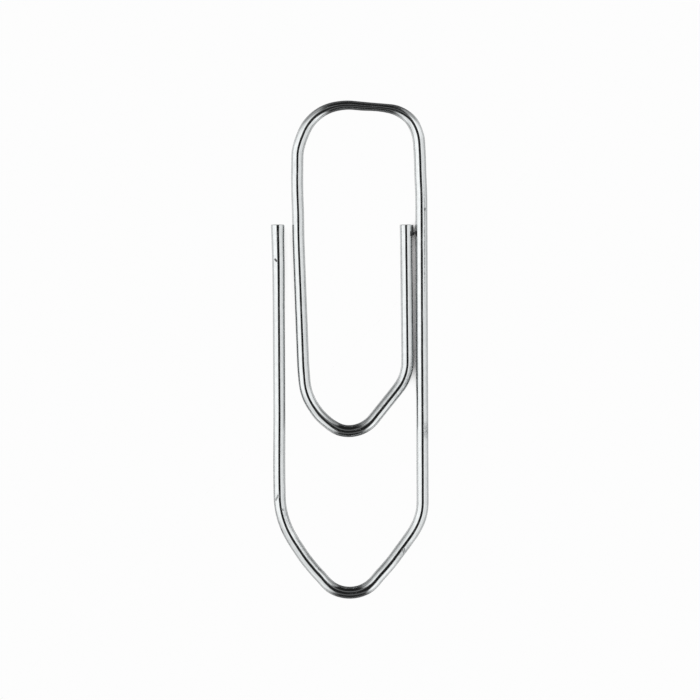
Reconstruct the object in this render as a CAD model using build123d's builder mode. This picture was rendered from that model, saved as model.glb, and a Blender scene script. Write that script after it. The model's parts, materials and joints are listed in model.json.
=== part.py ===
from build123d import *

import os
from math import cos, radians, sin, tan

# A pointed paper clip, lying flat: X across it, Y along it with both points towards -Y, Z up.
# It is one round steel wire, bent in one plane and always to the same hand. From its outer cut end it
# runs down the outer free leg, round the outer point, up the long leg, over the top, down the inner leg,
# round the inner point and up the inner free leg. The inner loop is the tongue, which springs up about
# the top bar.
# The origin lies on the table under the middle of the clip. Left and right are as seen from above.

# Wire
wire_diameter = 1.2
cut_end_chamfer = 0.06  # edge rounded by the shear at both cut ends

# Lengths along the clip
clip_length = 50.0  # over the top and the outer point
point_spacing = 16.2  # from the outer point to the inner point, outside to outside
cut_end_drop = 12.5  # from the top of the clip down to both cut ends
inner_leg_set_drop = 9.9  # from the top of the clip down to the gentle bend in the inner leg
long_leg_set_drop = 8.6  # from the top of the clip down to the gentle bend in the long leg

# Inner point: slopes rise from the cross direction, runs are their straight stretches between bends
inner_left_slope_angle = 52.2
inner_right_slope_angle = 51.3
inner_left_slope_run = 1.7
inner_right_slope_run = 4.1
inner_nose_radius = 3.2
inner_left_shoulder_radius = 4.5
inner_right_shoulder_radius = 3.8

# Outer point: its slopes reach as far as the outer legs, which stand beside the inner loop
outer_left_slope_angle = 53.3
outer_right_slope_angle = 51.7
outer_nose_offset = 0.07  # to the right of the inner nose
outer_nose_radius = 3.5
outer_left_shoulder_radius = 8.0
outer_right_shoulder_radius = 5.9

# Clear gaps beside the inner shoulders
left_gap = 1.3  # to the outer free leg
right_gap = 0.25  # to the long leg

# Leans of the legs to the left, in degrees from the length of the clip
outer_free_leg_lean = 0.35
long_leg_lean = 0.24
long_leg_top_lean = 2.8
inner_leg_top_lean = -0.6
inner_leg_lean = 2.15
inner_free_leg_lean = 0.64

# Top
top_bar_tilt = 5.45  # the bar falls to the right
top_left_radius = 5.1
top_right_radius = 3.2
leg_set_radius = 30.0  # both gentle bends in the legs


def heading(angle):
    """Unit step in the plane of the clip, at an angle from +X in degrees."""
    return Vector(cos(radians(angle)), sin(radians(angle)))


def crossing(first_point, first_angle, second_point, second_angle):
    """Corner where two straight runs meet, each given by a point on it and its angle."""
    first_way = heading(first_angle)
    second_way = heading(second_angle)
    between = second_point - first_point
    return first_point + first_way * (between.cross(second_way).Z / first_way.cross(second_way).Z)


def at_level(point, angle, level):
    """Point of a run that lies at the given distance along the clip."""
    return crossing(point, angle, Vector(0, level), 0)


def tangent_length(radius, turn):
    """Length that a bend takes off each run beside its corner."""
    return radius * tan(radians(turn / 2))


def overhang(radius, left_angle, right_angle):
    """Distance along the clip from the end of a rounded point to the sharp corner of its two slopes."""
    half_turn = radians((left_angle + right_angle) / 2)
    half_difference = radians((left_angle - right_angle) / 2)
    return radius * (cos(half_difference) / cos(half_turn) - 1)


# Angles of the straight runs from +X, all taken upwards
outer_free_leg_way = 90 + outer_free_leg_lean
outer_left_slope_way = 180 - outer_left_slope_angle
outer_right_slope_way = outer_right_slope_angle
long_leg_way = 90 + long_leg_lean
long_leg_top_way = 90 + long_leg_top_lean
top_bar_way = 180 - top_bar_tilt
inner_leg_top_way = 90 + inner_leg_top_lean
inner_leg_way = 90 + inner_leg_lean
inner_left_slope_way = 180 - inner_left_slope_angle
inner_right_slope_way = inner_right_slope_angle
inner_free_leg_way = 90 + inner_free_leg_lean

# Levels along the clip
wire_radius = wire_diameter / 2
clip_top = clip_length / 2
highest_line = clip_top - wire_radius
lowest_line = wire_radius - clip_length / 2
cut_end_level = clip_top - cut_end_drop

# Inner loop, with its nose at X = 0 for now
inner_nose_turn = inner_left_slope_angle + inner_right_slope_angle
inner_nose_tangent = tangent_length(inner_nose_radius, inner_nose_turn)
inner_nose_overhang = overhang(inner_nose_radius, inner_left_slope_angle, inner_right_slope_angle)
inner_nose = Vector(0, lowest_line + point_spacing - inner_nose_overhang)
inner_left_tangent = tangent_length(inner_left_shoulder_radius, inner_left_slope_way - inner_leg_way)
inner_left_slope = inner_nose_tangent + inner_left_slope_run + inner_left_tangent
inner_left_corner = inner_nose + heading(inner_left_slope_way) * inner_left_slope
inner_right_tangent = tangent_length(inner_right_shoulder_radius, inner_free_leg_way - inner_right_slope_way)
inner_right_slope = inner_nose_tangent + inner_right_slope_run + inner_right_tangent
inner_right_corner = inner_nose + heading(inner_right_slope_way) * inner_right_slope
inner_end = at_level(inner_right_corner, inner_free_leg_way, cut_end_level)
inner_leg_set = at_level(inner_left_corner, inner_leg_way, clip_top - inner_leg_set_drop)

# Outer loop, beside the inner one
free_leg_side = inner_left_corner - Vector(left_gap + wire_diameter, 0)
long_leg_side = inner_right_corner + Vector(right_gap + wire_diameter, 0)
outer_nose_overhang = overhang(outer_nose_radius, outer_left_slope_angle, outer_right_slope_angle)
outer_nose = Vector(outer_nose_offset, lowest_line - outer_nose_overhang)
outer_left_corner = crossing(outer_nose, outer_left_slope_way, free_leg_side, outer_free_leg_way)
outer_right_corner = crossing(outer_nose, outer_right_slope_way, long_leg_side, long_leg_way)
outer_end = at_level(free_leg_side, outer_free_leg_way, cut_end_level)
long_leg_set = at_level(long_leg_side, long_leg_way, clip_top - long_leg_set_drop)

# Top, which joins the two loops
top_left_overhang = overhang(top_left_radius, inner_leg_top_way, top_bar_tilt)
top_left_corner = at_level(inner_leg_set, inner_leg_top_way, highest_line + top_left_overhang)
top_right_corner = crossing(top_left_corner, top_bar_way, long_leg_set, long_leg_top_way)

# Corners in the order of the wire, with the radius of the bend at each, and the clip centred on X
middle = (outer_end.X + outer_right_corner.X) / 2
bends = [
    (outer_left_corner, outer_left_shoulder_radius),
    (outer_nose, outer_nose_radius),
    (outer_right_corner, outer_right_shoulder_radius),
    (long_leg_set, leg_set_radius),
    (top_right_corner, top_right_radius),
    (top_left_corner, top_left_radius),
    (inner_leg_set, leg_set_radius),
    (inner_left_corner, inner_left_shoulder_radius),
    (inner_nose, inner_nose_radius),
    (inner_right_corner, inner_right_shoulder_radius),
]
corners = [outer_end] + [corner for corner, radius in bends] + [inner_end]

with BuildLine(Plane.XY.offset(wire_radius)) as centreline:
    centred_corners = [(corner.X - middle, corner.Y) for corner in corners]
    FilletPolyline(centred_corners, radius=[radius for corner, radius in bends])

# The top bar is parted square at its middle, where the tongue turns on the outer loop
# Runs and bends alternate, so the run before a bend stands at twice the bend's place
stretches = centreline.edges().sort_by(centreline.wire())
bar_place = 2 * bends.index((top_left_corner, top_left_radius))
top_bar = stretches[bar_place]
stretches[bar_place : bar_place + 1] = [top_bar.trim(0, 0.5), top_bar.trim(0.5, 1)]

# Spans of the wire in order
span_names = [
    "outer_free_leg",
    "outer_left_shoulder",
    "outer_left_slope",
    "outer_nose",
    "outer_right_slope",
    "outer_right_shoulder",
    "long_leg",
    "top_right_bend",
    "top_bar_right",
    "top_bar_left",
    "top_left_bend",
    "inner_leg",
    "inner_left_shoulder",
    "inner_left_slope",
    "inner_nose",
    "inner_right_slope",
    "inner_right_shoulder",
    "inner_free_leg",
]
set_spans = ("long_leg", "inner_leg")  # each is two straight runs and the gentle bend between them
cut_spans = ("outer_free_leg", "inner_free_leg")

os.makedirs("parts", exist_ok=True)
remaining = iter(stretches)
for name in span_names:
    with BuildPart() as span:
        with BuildLine() as axis_line:
            add(next(remaining))
            if name in set_spans:
                add(next(remaining))
                add(next(remaining))
        with BuildSketch(Plane(origin=axis_line.line @ 0, z_dir=axis_line.line % 0)):
            Circle(wire_radius)
        sweep()
        if name in cut_spans:
            cut_face = span.faces().sort_by(Axis.Y)[-1]
            chamfer(cut_face.edges(), length=cut_end_chamfer)
    span.part.label = name
    export_step(span.part, f"parts/{name}.step")
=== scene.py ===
import json
import math

import bpy
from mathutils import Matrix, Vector


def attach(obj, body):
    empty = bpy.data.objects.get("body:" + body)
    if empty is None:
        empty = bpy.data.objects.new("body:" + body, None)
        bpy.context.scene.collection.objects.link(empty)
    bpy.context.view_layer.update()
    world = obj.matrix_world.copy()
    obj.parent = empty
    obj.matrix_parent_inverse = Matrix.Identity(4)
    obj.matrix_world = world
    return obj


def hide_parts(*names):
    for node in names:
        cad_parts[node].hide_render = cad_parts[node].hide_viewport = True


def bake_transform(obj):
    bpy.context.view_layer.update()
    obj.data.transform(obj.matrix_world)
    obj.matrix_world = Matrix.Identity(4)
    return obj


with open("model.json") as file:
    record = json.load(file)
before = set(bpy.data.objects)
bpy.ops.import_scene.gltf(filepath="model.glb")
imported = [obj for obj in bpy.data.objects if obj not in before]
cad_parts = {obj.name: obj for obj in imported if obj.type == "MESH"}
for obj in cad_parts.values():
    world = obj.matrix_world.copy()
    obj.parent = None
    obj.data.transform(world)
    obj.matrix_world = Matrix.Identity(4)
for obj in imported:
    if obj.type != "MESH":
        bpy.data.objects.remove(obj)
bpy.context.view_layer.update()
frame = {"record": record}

# Sizes in metres. X runs across the clip, Y along it with both points towards -Y, and Z up from
# the table.
MM = 0.001
WIRE_RADIUS = 0.6 * MM
WIRE_LENGTH = 158.63  # in millimetres, as all distances along the wire below
RING_SIDES = 96
RUN_SPACING = 0.3 * MM  # between the rings of a straight run
BEND_SPACING = 0.15 * MM  # between the rings of a bend
MARK_SPACING = 0.04 * MM  # between the rings beside a nick
MARK_REACH = 0.5 * MM
MARK_MARGIN = 0.12 * MM  # kept free of close rings at both ends of a stretch
RING_MERGE = 0.002 * MM  # points of a drawn wire closer than this are one
FINE_MERGE = 0.001 * MM  # the same once the nicks and cut ends are shaped
SMOOTH_ANGLE = math.radians(40)  # edges sharper than this stay sharp
NEAR_LINE = 1.5 * WIRE_RADIUS  # points this near to a point of the wire's line belong to it
SET_HALF = 0.16 * MM  # half of the stretch that a sideways set moves in full
PRESS_FADE = 0.4  # share of a nick's width over which its edge fades

# Cut ends: their widening by the shears, as share of the width and reach in millimetres, and sizes
OUTER_FLARE = [(0.06, 9.0), (0.05, 2.0)]
INNER_FLARE = [(0.02, 1.5)]
RIM_ROUND = 0.07 * MM  # roll over of the rim
RIM_STEP = 0.03 * MM  # flat ring inside the rim
TORN_DROP = 0.1 * MM  # from the wire's line down to the torn part of the face
TORN_SLANT = 0.14  # of the line between the smooth and the torn part
TORN_STEP = 0.04 * MM  # how far the torn part lies in from the rim, and how deep
TORN_ROUGHNESS = 0.012 * MM
FACE_REACH = 0.03  # millimetres from the tip that count as its face

# Burr at the inner cut end, a fin and then its hook, in millimetres: the levels between which it lies
# along the wire from the tip, how far out of the wire's line it starts, how far its middle lies along
# and out, and its steps, each out, ahead, up and to a share of its size
FIN_STEPS = [(0.06, 0.06, 0, 0.97), (0.07, 0.05, 0, 0.95)]
HOOK_STEPS = [(0.06, 0.02, 0.06, 0.85), (0.09, 0.07, 0.14, 0.80), (0.10, 0.12, 0.15, 0.65)]
BURR = [
    (-1.22, -0.10, 0.5, -0.66, 0.6, FIN_STEPS),
    (-1.22, -0.76, 0.66, -0.95, 0.73, HOOK_STEPS),
]
BURR_STRETCH = (150, 158.6)  # along the wire, where points outside its round are burr

# Painted shade in and around the nicks and on the burr: how far beyond a nick it reaches, in
# millimetres, and how strong it is there
NICK_SHADE_REACH = [(0.06, 0.55), (0.02, 1.0)]

# Colours of the wire
DULL_ZINC = (0.520, 0.540, 0.543, 1)
BRIGHT_ZINC = (0.690, 0.710, 0.713, 1)
# Zinc darkened as painted shade, for the patches on flanks that show dark reflections
PATCH_SHADE_ZINC = (0.185, 0.195, 0.198, 1)
TORN_STEEL = (0.120, 0.122, 0.123, 1)
# Near black painted shade in and around the nicks and on the burr
NICK_SHADE_COLOUR = (0.035, 0.037, 0.038, 1)

# Table: its size, its colours, the share of its sheen, and how much of its plain white shows to the
# camera and in mirror images
TABLE_SIZE = 3.0
WHITE = (1, 1, 1, 1)
MATT_WHITE = (0.9, 0.9, 0.9, 1)
SHEEN_GREY = (0.64, 0.64, 0.64, 1)
SHEEN_SHARE = 0.88
WHITE_SEEN = 0.98
WHITE_MIRRORED = 0.03

# Camera: its lens and sensor in millimetres, the width that it sees, and the point that it is above
LENS = 256.0
SENSOR = 36.0
FIELD = 70.2 * MM
ABOVE = (-0.045 * MM, -0.063 * MM)

# Corners of the wire's centreline in its order, in millimetres, each with the radius of its bend
ROUTE = [
    ("outer cut end", -7.2410, 12.5000, 0),
    ("outer left shoulder", -7.0585, -17.3812, 8.0),
    ("outer nose", -0.1507, -26.6488, 3.5),
    ("outer right shoulder", 7.2410, -17.2893, 5.9),
    ("long leg set", 7.0999, 16.4000, 30.0),
    ("top right bend", 6.7400, 23.7584, 3.2),
    ("top left bend", -5.2696, 24.9042, 5.1),
    ("inner leg set", -5.3722, 15.1000, 30.0),
    ("inner left shoulder", -4.6374, -4.4747, 4.5),
    ("inner nose", -0.2207, -10.1687, 3.2),
    ("inner right shoulder", 5.7301, -2.7409, 3.8),
    ("inner cut end", 5.5599, 12.5000, 0),
]

# Nicks in the wire: distance along it in millimetres, degrees round from its top to the left of its
# way, slant from its way to the left in degrees, then length, width and depth in millimetres, and
# how strong the painted shade in it is
NICKS = [
    (3.56, -24, 45, 0.32, 0.12, 0.040, 1.0),
    (27.36, -26, -34, 0.58, 0.11, 0.035, 0.65),
    (28.62, 17, 0, 0.16, 0.10, 0.030, 0.5),
    (30.60, -62, 0, 0.45, 0.12, 0.030, 0.7),
    (35.80, 48, 20, 0.28, 0.12, 0.035, 0.7),
    (46.90, -34, 62, 0.48, 0.07, 0.025, 0.3),
    (47.15, -30, 62, 0.40, 0.06, 0.020, 0.3),
    (81.65, -37, -20, 0.24, 0.10, 0.025, 0.8),
    (157.58, -56, 78, 0.22, 0.10, 0.035, 1.0),
]

# Dark patches of painted shade, flecked like wear, on flanks that show dark reflections: distance
# along the wire, degrees round from its top to the left, half of its length and half of its turn, and
# how strong it is
SHADE_PATCHES = [
    (26.0, -64, 8.0, 15, 1.1),
    (29.7, 46, 1.6, 34, 0.7),
    (33.9, 44, 2.6, 34, 0.8),
    (46.9, -38, 1.7, 34, 0.6),
    (59.5, -38, 1.0, 44, 1.0),
    (78.5, -29, 7.5, 6, 2.0),
    (96.5, -34, 3.2, 40, 0.6),
    (45.6, 36, 3.0, 40, 0.4),
    (139.8, 36, 4.6, 42, 0.45),
    (143.1, -42, 2.8, 30, 0.9),
]

# Places where the wire was pressed narrower over the top bar: distance along it, reach and share of
# its width
NARROWED = [(96.2, 7.0, 0.25), (94.2, 2.0, 0.09)]

# Places where its line moved to the right of its way there: distance along it, reach and how far, in
# millimetres
MOVED = [(96.6, 6.5, 0.10), (94.0, 2.2, 0.07), (100.6, 3.0, 0.10)]

# Places where the wire was set a little to one side: distance along it, how far to its left, and
# reach, in millimetres
SETS = [
    (0.1, -0.06, 5.0),
    (24.5, -0.05, 6.0),
    (34.2, -0.12, 2.9),
    (37.0, 0.06, 1.4),
    (43.0, 0.06, 1.5),
    (45.6, -0.04, 1.5),
    (49.0, 0.06, 2.2),
    (84.8, 0.04, 2.4),
    (89.5, 0.06, 1.4),
    (103.6, 0.05, 1.8),
    (110.6, 0.06, 3.4),
    (128.3, 0.07, 2.2),
    (131.3, -0.08, 1.6),
    (133.1, 0.07, 1.5),
    (143.4, 0.04, 1.8),
]


class Stretch:
    """A straight run of the wire, or a bend to the left when it has a centre."""

    def __init__(self, start, heading, length, along, centre=None, radius=0.0):
        self.start = start
        self.heading = heading
        self.length = length
        self.along = along
        self.centre = centre
        self.radius = radius

    def place(self, point):
        """How far along the wire a point is, how far to the left of its line, and how far it misses
        this stretch."""
        if self.centre:
            arm = Vector((point.x - self.centre.x, point.y - self.centre.y))
            angle = math.atan2(arm.y, arm.x) - self.heading + math.pi / 2
            distance = ((angle + math.pi) % (2 * math.pi) - math.pi) * self.radius
            side = self.radius - arm.length
        else:
            arm = Vector((point.x - self.start.x, point.y - self.start.y))
            way = Vector((math.cos(self.heading), math.sin(self.heading)))
            distance = arm.dot(way)
            side = way.x * arm.y - way.y * arm.x
        beyond = max(0.0, -distance, distance - self.length)
        return self.along + distance, side, math.hypot(beyond, side)

    def point(self, along):
        """The point of its line at a distance along the wire, and the way that it heads there."""
        distance = along - self.along
        if self.centre:
            heading = self.heading + distance / self.radius
            arm = Vector((math.sin(heading), -math.cos(heading), 0)) * self.radius
            return self.centre + arm, Vector((math.cos(heading), math.sin(heading), 0))
        way = Vector((math.cos(self.heading), math.sin(self.heading), 0))
        return self.start + way * distance, way

    def ring_steps(self):
        """Lengths along it with the number of rings in each, close together beside a nick."""
        stops = {0.0: False, self.length: False}
        for mark in NICKS:
            middle = mark[0] * MM - self.along
            first = max(MARK_MARGIN, middle - MARK_REACH)
            last = min(self.length - MARK_MARGIN, middle + MARK_REACH)
            if first < last:
                stops[first] = True
                stops.setdefault(last, False)
        places = sorted(stops)
        for here, there in zip(places, places[1:]):
            spacing = BEND_SPACING if self.centre else RUN_SPACING
            if stops[here]:
                spacing = MARK_SPACING
            yield there - here, max(1, math.ceil((there - here) / spacing))


def follow_route():
    """The wire's stretches in order: runs between the bends, and the bends tangent to both runs."""
    corners = [Vector((x * MM, y * MM, WIRE_RADIUS)) for name, x, y, radius in ROUTE]
    radii = [radius * MM for name, x, y, radius in ROUTE]
    stretches = []
    start, along = corners[0], 0.0
    for place in range(1, len(corners)):
        way = (corners[place] - corners[place - 1]).normalized()
        heading = math.atan2(way.y, way.x)
        turn = tangent = 0.0
        if place < len(corners) - 1:
            next_way = (corners[place + 1] - corners[place]).normalized()
            turn = (math.atan2(next_way.y, next_way.x) - heading) % (2 * math.pi)
            tangent = radii[place] * math.tan(turn / 2)
        end = corners[place] - way * tangent
        stretches.append(Stretch(start, heading, (end - start).length, along))
        along += (end - start).length
        if turn:
            left = Vector((-way.y, way.x, 0))
            centre = end + left * radii[place]
            bend = Stretch(end, heading, turn * radii[place], along, centre, radii[place])
            stretches.append(bend)
            along += bend.length
            start = corners[place] + next_way * tangent
    return stretches


def place_on(stretches, point):
    """How far along the wire a point is, and how far to the left of its line."""
    return min((stretch.place(point) for stretch in stretches), key=lambda found: found[2])[:2]


def clear_bench():
    """Leaves no object selected or in edit mode."""
    if bpy.context.object and bpy.context.object.mode != "OBJECT":
        bpy.ops.object.mode_set(mode="OBJECT")
    bpy.ops.object.select_all(action="DESELECT")


def pick_points(piece, wanted):
    """Selects the points of a piece in edit mode that pass the test."""
    bpy.ops.mesh.select_mode(type="VERT")
    bpy.ops.mesh.select_all(action="DESELECT")
    bpy.ops.object.mode_set(mode="OBJECT")
    for vertex in piece.data.vertices:
        vertex.select = wanted(vertex)
    bpy.ops.object.mode_set(mode="EDIT")


def pick_faces(piece, wanted):
    """Selects the faces of a piece in edit mode that pass the test."""
    bpy.ops.mesh.select_mode(type="FACE")
    bpy.ops.mesh.select_all(action="DESELECT")
    bpy.ops.object.mode_set(mode="OBJECT")
    for face in piece.data.polygons:
        face.select = wanted(face)
    bpy.ops.object.mode_set(mode="EDIT")


def pressed_at(along):
    """The share of its width that the wire keeps at a distance along it, and how far it lies to the
    right."""
    amounts = []
    for presses in (NARROWED, MOVED):
        amount = 0.0
        for middle, reach, most in presses:
            miss = min(1.0, abs(along / MM - middle) / reach)
            amount += most * (1 - miss**2) ** 2
        amounts.append(amount)
    return 1 - amounts[0], amounts[1] * MM


def press_ring(stretch, along, before=(1.0, 0.0)):
    """Narrows the ring that was drawn last and moves it to the right, as far as it wasn't so
    before."""
    width, right = pressed_at(along)
    point, way = stretch.point(along)
    across = Vector((way.y, -way.x, 0))
    bpy.ops.transform.translate(value=across * (right - before[1]))
    bpy.ops.transform.resize(
        value=(1, width / before[0], 1),
        orient_type="GLOBAL",
        orient_matrix=(way, across, (0, 0, 1)),
        orient_matrix_type="GLOBAL",
        center_override=point + across * right,
    )


def draw_step(stretch, length, steps):
    """Draws the selected ring on along a stretch, in a number of steps."""
    if stretch.centre:
        angle = length / stretch.radius
        bpy.ops.mesh.spin(steps=steps, angle=angle, center=stretch.centre, axis=(0, 0, -1))
    else:
        step = length / steps
        way = (step * math.cos(stretch.heading), step * math.sin(stretch.heading), 0)
        bpy.ops.mesh.extrude_repeat(steps=steps, offset=way)


def draw_wire(name, stretches):
    """Draws a length of wire out of a ring, run by run and bend by bend, and closes both ends."""
    clear_bench()
    first = stretches[0]
    bpy.ops.mesh.primitive_circle_add(
        vertices=RING_SIDES,
        radius=WIRE_RADIUS,
        location=first.start,
        rotation=(math.pi / 2, 0, first.heading + math.pi / 2),
    )
    piece = bpy.context.object
    piece.name = name
    piece.data.name = name
    bpy.ops.object.transform_apply(location=True, rotation=True, scale=True)
    bpy.ops.object.mode_set(mode="EDIT")
    bpy.ops.mesh.select_all(action="SELECT")
    press_ring(first, first.along)
    for stretch in stretches:
        along = stretch.along
        for length, steps in stretch.ring_steps():
            if pressed_at(along) == pressed_at(along + length) == (1.0, 0.0):
                draw_step(stretch, length, steps)
                along += length
                continue
            for ring in range(steps):
                draw_step(stretch, length / steps, 1)
                press_ring(stretch, along + length / steps, pressed_at(along))
                along += length / steps
    bpy.ops.mesh.edge_face_add()
    bpy.ops.mesh.select_all(action="DESELECT")
    bpy.ops.mesh.select_non_manifold()
    bpy.ops.mesh.edge_face_add()
    bpy.ops.mesh.select_all(action="SELECT")
    bpy.ops.mesh.remove_doubles(threshold=RING_MERGE)
    bpy.ops.mesh.normals_make_consistent(inside=False)
    return piece


def lay_of(piece, stretches):
    """Each point's distance along the wire in millimetres, its turn from the top to the left in
    degrees, and its distance from the wire's line in wire radii."""
    found = []
    for vertex in piece.data.vertices:
        along, side = place_on(stretches, vertex.co)
        height = vertex.co.z - WIRE_RADIUS
        turn = math.degrees(math.atan2(side, height))
        found.append((along / MM, turn, math.hypot(side, height) / WIRE_RADIUS))
    return found


def in_nick(nick, along, turn, margin=0.0):
    """Whether a place on the wire lies in a nick, or within a margin of it."""
    middle, middle_turn, slant, length, width, depth, shade_strength = nick
    ahead = along - middle
    if abs(ahead) > length + margin:
        return False
    across = math.radians(turn - middle_turn) * WIRE_RADIUS / MM
    slope = math.radians(slant)
    lengthwise = ahead * math.cos(slope) + across * math.sin(slope)
    sideways = across * math.cos(slope) - ahead * math.sin(slope)
    return abs(lengthwise) < length / 2 + margin and abs(sideways) < width / 2 + margin


def press_nicks(piece, stretches):
    """Presses each nick of this length into the wire."""
    begin = stretches[0].along / MM
    end = (stretches[-1].along + stretches[-1].length) / MM
    bpy.ops.object.mode_set(mode="OBJECT")
    lay = lay_of(piece, stretches)
    bpy.ops.object.mode_set(mode="EDIT")
    for nick in NICKS:
        middle, turn, slant, length, width, depth, shade_strength = nick
        if begin < middle < end:
            pick_points(piece, lambda vertex: in_nick(nick, *lay[vertex.index][:2]))
            bpy.ops.transform.shrink_fatten(
                value=-depth * MM,
                use_proportional_edit=True,
                proportional_edit_falloff="SMOOTH",
                proportional_size=PRESS_FADE * width * MM,
            )


def shear_end(piece, stretch, at_start, flare, rough_seed):
    """Shapes a cut end: widened by the shears, rolled over at its rim, smooth above and torn
    below."""
    tip, way = stretch.point(stretch.along if at_start else stretch.along + stretch.length)
    out = -way if at_start else way

    def at_tip(vertex):
        arm = vertex.co - tip
        return arm.dot(out) > -0.01 * MM and arm.length < NEAR_LINE

    def on_face(face):
        return face.normal.dot(out) > 0.9 and (Vector(face.center) - tip).length < WIRE_RADIUS

    for share, reach in flare:
        pick_points(piece, at_tip)
        bpy.ops.transform.resize(
            value=(1 + share, 1, 1 - share / 2),
            center_override=tip,
            use_proportional_edit=True,
            proportional_edit_falloff="SMOOTH",
            proportional_size=reach * MM,
        )
    pick_points(piece, at_tip)
    bpy.ops.mesh.bevel(offset=RIM_ROUND, segments=4, profile=0.5, affect="EDGES")
    pick_faces(piece, on_face)
    bpy.ops.mesh.inset(thickness=RIM_STEP)
    pick_faces(piece, lambda face: on_face(face) and face.area > 0.2 * MM**2)
    torn_level = tip.z - TORN_DROP
    bpy.ops.mesh.bisect(plane_co=(tip.x, tip.y, torn_level), plane_no=(TORN_SLANT, 0, 1))

    def on_torn_part(face):
        return on_face(face) and face.center[2] < torn_level and face.area > 0.1 * MM**2

    pick_faces(piece, on_torn_part)
    bpy.ops.mesh.inset(thickness=TORN_STEP, depth=-TORN_STEP)
    bpy.ops.mesh.poke()
    bpy.ops.mesh.subdivide(number_cuts=3)
    bpy.ops.transform.vertex_random(offset=TORN_ROUGHNESS, normal=0.6, seed=rough_seed)


def raise_burr(piece, stretch):
    """Draws out the thin fin that the shears tore from the right flank at the inner cut end, and its
    hooked foot."""
    tip, way = stretch.point(stretch.along + stretch.length)
    right = Vector((way.y, -way.x, 0))

    def pick_flank(low, high, out):
        """Selects the faces that look to the right, between two levels along the wire from the tip
        and beyond a distance out."""

        def on_flank(face):
            arm = Vector(face.center) - tip
            at_side = out * MM < arm.dot(right) < 0.9 * MM and abs(arm.z) < 0.2 * MM
            return at_side and low * MM < arm.dot(way) < high * MM and face.normal.dot(right) > 0.7

        pick_faces(piece, on_flank)

    def draw_out(foot, steps):
        """Draws the selected faces out in steps, each out, ahead, up and to a share of its size."""
        for out, ahead, up, size in steps:
            step = (right * out + way * ahead + Vector((0, 0, up))) * MM
            foot = foot + step
            bpy.ops.mesh.extrude_region_move(TRANSFORM_OT_translate={"value": step})
            bpy.ops.transform.resize(value=(1, size, size), center_override=foot)

    for low, high, begin, ahead, out, steps in BURR:
        pick_flank(low, high, begin)
        draw_out(tip + way * ahead * MM + right * out * MM, steps)


def mark_wire(piece, stretches):
    """Writes where each point lies on the straightened wire, in wire radii, how strong the painted shade
    on it is in and around the nicks, on the burr and in the dark patches, and how torn it is."""
    bpy.ops.object.mode_set(mode="OBJECT")
    piece.data.attributes.new("lay", "FLOAT_VECTOR", "POINT")
    marks = ("nick_shade", "patch_shade", "torn")
    for name in marks:
        piece.data.attributes.new(name, "FLOAT", "POINT")
    lay = piece.data.attributes["lay"]
    nick_shade, patch_shade, torn = [piece.data.attributes[name] for name in marks]
    for place, (along, turn, arm) in enumerate(lay_of(piece, stretches)):
        angle = math.radians(turn)
        lay.data[place].vector = (math.sin(angle), math.cos(angle), along * MM / WIRE_RADIUS)
        # The burr is painted dark as painted shade, through the shade of the nicks and the torn steel
        burr = BURR_STRETCH[0] < along < BURR_STRETCH[1] and arm > 1.05
        # Painted shade in and around each nick, and on the burr
        for margin, share in NICK_SHADE_REACH:
            shade_strength = [nick[6] for nick in NICKS if in_nick(nick, along, turn, margin)]
            if burr or shade_strength:
                nick_shade.data[place].value = share * (1.0 if burr else max(shade_strength))
        cut_face = not FACE_REACH < along < WIRE_LENGTH - FACE_REACH and arm < 0.95
        torn.data[place].value = 1.0 if burr or cut_face else 0.0
        # Painted shade of the dark patches, strongest at their middles
        for middle, middle_turn, length, width, strength in SHADE_PATCHES:
            miss = math.hypot((along - middle) / length, (turn - middle_turn) / width)
            if miss < 1:
                patch_shade.data[place].value = max(patch_shade.data[place].value, strength * (1 - miss**2))


def set_sideways(piece, stretches):
    """Moves the wire a little to one side where it was set so."""
    bpy.ops.object.mode_set(mode="EDIT")
    for stretch in stretches:
        for along, left, reach in SETS:
            if not stretch.along <= along * MM < stretch.along + stretch.length:
                continue
            middle, way = stretch.point(along * MM)

            def on_ring(vertex):
                arm = vertex.co - middle
                return abs(arm.dot(way)) < SET_HALF and arm.length < NEAR_LINE

            pick_points(piece, on_ring)
            bpy.ops.transform.translate(
                value=Vector((-way.y, way.x, 0)) * left * MM,
                use_proportional_edit=True,
                use_proportional_connected=True,
                proportional_edit_falloff="SMOOTH",
                proportional_size=reach * MM,
            )


def finish_wire(piece, stretches, material):
    """Closes the mesh, sets it sideways, smooths it and gives it its finish."""
    bpy.ops.mesh.select_mode(type="VERT")
    bpy.ops.mesh.select_all(action="SELECT")
    bpy.ops.mesh.remove_doubles(threshold=FINE_MERGE)
    bpy.ops.mesh.normals_make_consistent(inside=False)
    mark_wire(piece, stretches)
    set_sideways(piece, stretches)
    bpy.ops.object.mode_set(mode="OBJECT")
    bpy.ops.object.shade_smooth_by_angle(angle=SMOOTH_ANGLE)
    piece.data.materials.append(material)


class Value:
    """An output of a node, which can take part in sums."""

    def __init__(self, finish, socket):
        self.finish = finish
        self.socket = socket

    def sum(self, operation, first, second):
        return self.finish.node("ShaderNodeMath", {"operation": operation}, {0: first, 1: second})

    def __add__(self, other):
        return self.sum("ADD", self, other)

    def __radd__(self, other):
        return self.sum("ADD", other, self)

    def __sub__(self, other):
        return self.sum("SUBTRACT", self, other)

    def __rsub__(self, other):
        return self.sum("SUBTRACT", other, self)

    def __mul__(self, other):
        return self.sum("MULTIPLY", self, other)

    def __rmul__(self, other):
        return self.sum("MULTIPLY", other, self)

    def __abs__(self):
        return self.sum("ABSOLUTE", self, 0.0)


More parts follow.
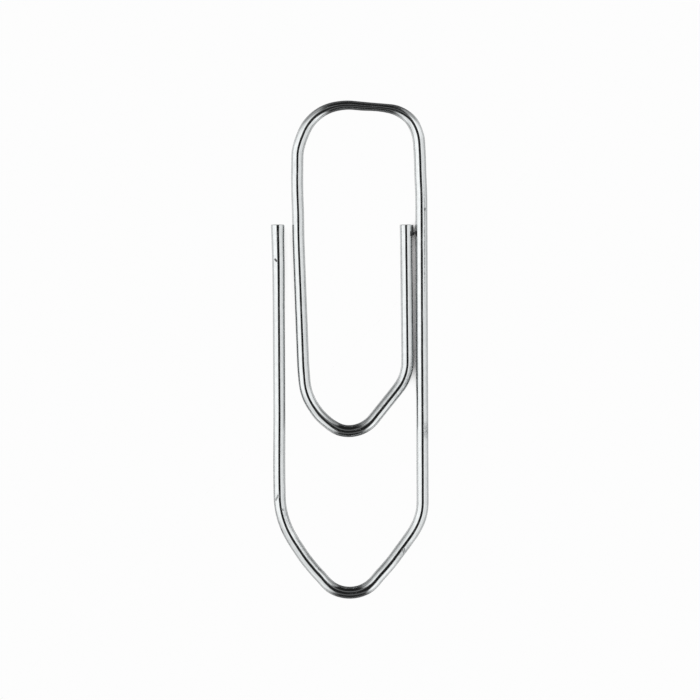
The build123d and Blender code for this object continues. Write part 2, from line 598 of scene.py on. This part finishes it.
class Finish:
    """A node tree that is being mixed for a surface or for the studio."""

    def __init__(self, tree):
        self.tree = tree
        tree.nodes.clear()

    def node(self, kind, settings=None, sockets=None, out=0):
        """Adds a node of a kind, with its settings made first and its sockets set or linked, and gives
        one output."""
        made = self.tree.nodes.new(kind)
        for name, value in (settings or {}).items():
            setattr(made, name, value)
        for name, value in (sockets or {}).items():
            if isinstance(value, Value):
                self.tree.links.new(value.socket, made.inputs[name])
            else:
                made.inputs[name].default_value = value
        return Value(self, made.outputs[out]) if len(made.outputs) else None

    def ease(self, value, low, high):
        """Rises smoothly from 0 at low to 1 at high."""
        sockets = {"Value": value, "From Min": low, "From Max": high}
        return self.node("ShaderNodeMapRange", {"interpolation_type": "SMOOTHSTEP"}, sockets)

    def grain(self, vector, stretch, detail, roughness=0.5):
        """Noise from 0 to 1 on a vector, stretched by a factor for each of its parts."""
        sides = {0: vector, 1: stretch}
        stretched = self.node("ShaderNodeVectorMath", {"operation": "MULTIPLY"}, sides)
        sockets = {"Vector": stretched, "Scale": 1.0, "Detail": detail, "Roughness": roughness}
        return self.node("ShaderNodeTexNoise", None, sockets)

    def tint(self, share, first, second):
        """A colour between two, by share."""
        sockets = {0: share, 6: first, 7: second}
        return self.node("ShaderNodeMix", {"data_type": "RGBA"}, sockets, 2)


def bright_wire():
    """Drawn steel wire with a bright zinc coat: die lines along it, faint mottle, dark flecked patches
    of painted shade, and painted shade in and around its nicks and on its burr."""
    material = bpy.data.materials.new("bright_wire")
    material.use_nodes = True
    finish = Finish(material.node_tree)
    lay = finish.node("ShaderNodeAttribute", {"attribute_name": "lay"}, out=1)
    # Painted shade: in and around the nicks and on the burr, and in the dark patches
    nick_shade = finish.node("ShaderNodeAttribute", {"attribute_name": "nick_shade"}, out=2)
    patch_shade = finish.node("ShaderNodeAttribute", {"attribute_name": "patch_shade"}, out=2)
    torn = finish.node("ShaderNodeAttribute", {"attribute_name": "torn"}, out=2)

    # Grains, each as fine round the wire and along it as its three factors say
    die_lines = finish.grain(lay, (8.0, 8.0, 0.03), 3.0, 0.6)
    broad_lines = finish.grain(lay, (3.2, 3.2, 0.02), 1.0)
    mottle = finish.grain(lay, (2.2, 2.2, 1.1), 3.0, 0.6)
    waves = finish.grain(lay, (1.0, 1.0, 0.25), 1.0)
    flecks = finish.grain(lay, (7.0, 7.0, 4.0), 2.0, 0.7)
    hair = finish.grain(lay, (4.0, 4.0, 0.22), 0.0)
    sparse = finish.ease(finish.grain(lay, (0.9, 0.9, 0.25), 1.0), 0.52, 0.62)
    scratch = finish.ease(abs(hair - 0.5), 0.016, 0.006) * sparse
    lined = finish.ease(broad_lines, 0.56, 0.68)
    # Painted shade in flecked patches, which also roughen and raise the zinc there
    patch_shade_flecks = patch_shade * finish.ease(flecks, 0.38, 0.56)

    # Colour, from the zinc through the painted shade of the patches and the torn steel down to the
    # painted shade in the nicks and on the burr
    clouds = finish.ease(mottle, 0.3, 0.7)
    streaks = finish.ease(die_lines, 0.3, 0.7)
    tone = 0.22 + 0.40 * clouds + 0.45 * streaks - 0.15 * lined
    zinc = finish.tint(tone - 0.4 * scratch, DULL_ZINC, BRIGHT_ZINC)
    # Zinc darkened to painted shade in the patches
    patch_shaded_zinc = finish.tint(0.85 * patch_shade_flecks, zinc, PATCH_SHADE_ZINC)
    steel = finish.tint(torn * (0.55 + 0.4 * flecks), patch_shaded_zinc, TORN_STEEL)
    # Near black painted shade in and around the nicks and on the burr
    colour = finish.tint(0.85 * nick_shade, steel, NICK_SHADE_COLOUR)

    # Relief and gloss
    swell = 0.2 * die_lines + 1.3 * waves + 0.05 * mottle
    height = swell - 0.15 * scratch - 0.2 * lined + 0.2 * patch_shade_flecks
    smooth = 0.07 + 0.05 * die_lines + 0.05 * mottle
    relief = {"Strength": 1.0, "Distance": 0.006 * MM, "Height": height}
    bump = finish.node("ShaderNodeBump", None, relief)
    shader = finish.node(
        "ShaderNodeBsdfPrincipled",
        None,
        {
            "Base Color": colour,
            "Metallic": 1.0,
            "Roughness": smooth + 0.15 * scratch + 0.14 * patch_shade_flecks + 0.3 * nick_shade + 0.28 * torn,
            "Normal": bump,
        },
    )
    finish.node("ShaderNodeOutputMaterial", None, {"Surface": shader})
    return material


def white_table():
    """Pale satin table that stays white where it is open, and keeps the shade between and under the
    wires."""
    material = bpy.data.materials.new("white_table")
    material.use_nodes = True
    finish = Finish(material.node_tree)
    matt = finish.node("ShaderNodeBsdfDiffuse", None, {"Color": MATT_WHITE})
    gloss = {"Color": SHEEN_GREY, "Roughness": 0.11}
    sheen = finish.node("ShaderNodeBsdfAnisotropic", None, gloss)
    satin = finish.node("ShaderNodeMixShader", None, {0: SHEEN_SHARE, 1: matt, 2: sheen})
    white = finish.node("ShaderNodeEmission", None, {"Color": WHITE, "Strength": 1.0})
    reach = {"Distance": 2.0 * MM}
    open_sky = finish.node("ShaderNodeAmbientOcclusion", {"samples": 16}, reach, "AO")
    camera = finish.node("ShaderNodeLightPath", None, None, "Is Camera Ray")
    glossy = finish.node("ShaderNodeLightPath", None, None, "Is Glossy Ray")
    through = finish.node("ShaderNodeLightPath", None, None, "Is Transmission Ray")
    shown = WHITE_SEEN * camera + WHITE_MIRRORED * glossy + WHITE_MIRRORED * through
    share = shown * finish.ease(open_sky, 0.12, 0.44)
    mixed = finish.node("ShaderNodeMixShader", None, {0: share, 1: satin, 2: white})
    finish.node("ShaderNodeOutputMaterial", None, {"Surface": mixed})
    return material


def studio():
    """White soft boxes to the left and right, dimmer towards their ends, a dark strip overhead with
    faint lamps in it, and pale walls beyond the corners of the table."""
    world = bpy.data.worlds.new("studio")
    world.use_nodes = True
    bpy.context.scene.world = world
    finish = Finish(world.node_tree)
    way = finish.node("ShaderNodeTexCoord", None, None, "Generated")
    x = finish.node("ShaderNodeSeparateXYZ", None, {0: way}, "X")
    y = finish.node("ShaderNodeSeparateXYZ", None, {0: way}, "Y")
    z = finish.node("ShaderNodeSeparateXYZ", None, {0: way}, "Z")

    # Each light has soft edges, given by where along X, Y or Z of the way it begins and where it is full
    length = 1 - 0.93 * finish.ease(abs(y + 0.08), 0.53, 0.86)
    left = finish.ease(x, -0.24, -0.36)
    right = finish.ease(x, 0.36, 0.46)
    far_right = finish.ease(x, 0.55, 0.75)
    middle_left = 1.42 - 0.38 * finish.ease(abs(y), 0.15, 0.40)
    boxes = length * (left * middle_left + right * (1.30 - 0.25 * far_right))
    back_lamp = finish.ease(y, 0.14, 0.26) * finish.ease(y, 0.52, 0.36)
    front_lamp = finish.ease(y, -0.50, -0.60) * finish.ease(y, -0.84, -0.72)
    corners = finish.ease(abs(x), 0.36, 0.50) * finish.ease(abs(y), 0.60, 0.74)
    walls = corners * finish.ease(z, 0.0, 0.06) * finish.ease(z, 0.55, 0.35)
    level = 0.02 + boxes + 0.20 * back_lamp + 0.14 * front_lamp + 0.42 * walls
    light = finish.node("ShaderNodeBackground", None, {"Color": WHITE, "Strength": level})
    white = finish.node("ShaderNodeBackground", None, {"Color": WHITE, "Strength": 1.0})
    camera = finish.node("ShaderNodeLightPath", None, None, "Is Camera Ray")
    mixed = finish.node("ShaderNodeMixShader", None, {0: camera, 1: light, 2: white})
    finish.node("ShaderNodeOutputWorld", None, {"Surface": mixed})


def table_top(material):
    """A wide table under the clip."""
    clear_bench()
    bpy.ops.mesh.primitive_plane_add(size=TABLE_SIZE, location=(0, 0, 0))
    top = bpy.context.object
    top.name = "table_top"
    top.data.materials.append(material)


def camera():
    """Looks straight down on the clip with a long lens."""
    lens_data = bpy.data.cameras.new("camera")
    lens_data.sensor_width = SENSOR
    lens_data.lens = LENS
    holder = bpy.data.objects.new("camera", lens_data)
    holder.location = (*ABOVE, WIRE_RADIUS + FIELD * LENS / SENSOR)
    bpy.context.scene.collection.objects.link(holder)
    bpy.context.scene.camera = holder


stretches = follow_route()
outer_stretches, bar, tongue_stretches = stretches[:10], stretches[10], stretches[11:]
wire = bright_wire()

outer_wire = draw_wire("outer_wire", outer_stretches)
press_nicks(outer_wire, outer_stretches)
shear_end(outer_wire, outer_stretches[0], True, OUTER_FLARE, rough_seed=5)
finish_wire(outer_wire, outer_stretches, wire)

top_bar = draw_wire("top_bar", [bar])
finish_wire(top_bar, [bar], wire)

tongue_wire = draw_wire("tongue_wire", tongue_stretches)
press_nicks(tongue_wire, tongue_stretches)
shear_end(tongue_wire, tongue_stretches[-1], False, INNER_FLARE, rough_seed=8)
raise_burr(tongue_wire, tongue_stretches[-1])
finish_wire(tongue_wire, tongue_stretches, wire)

bodies = frame["record"]["behaviour"]["bodies"]
bar_nodes = ["top_bar_right", "top_bar_left"]
bar_end = bar.start + Vector((math.cos(bar.heading), math.sin(bar.heading), 0)) * bar.length
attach(outer_wire, "outer_loop")
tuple(bar.start)
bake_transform(top_bar)
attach(tongue_wire, "tongue")
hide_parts(*[node for node in bodies["outer_loop"] if node not in bar_nodes])
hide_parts(*bar_nodes)
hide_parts(*[node for node in bodies["tongue"] if node not in bar_nodes])

table_top(white_table())
studio()
camera()
bpy.context.scene.view_settings.view_transform = "Standard"

clear_bench()
bpy.context.view_layer.update()
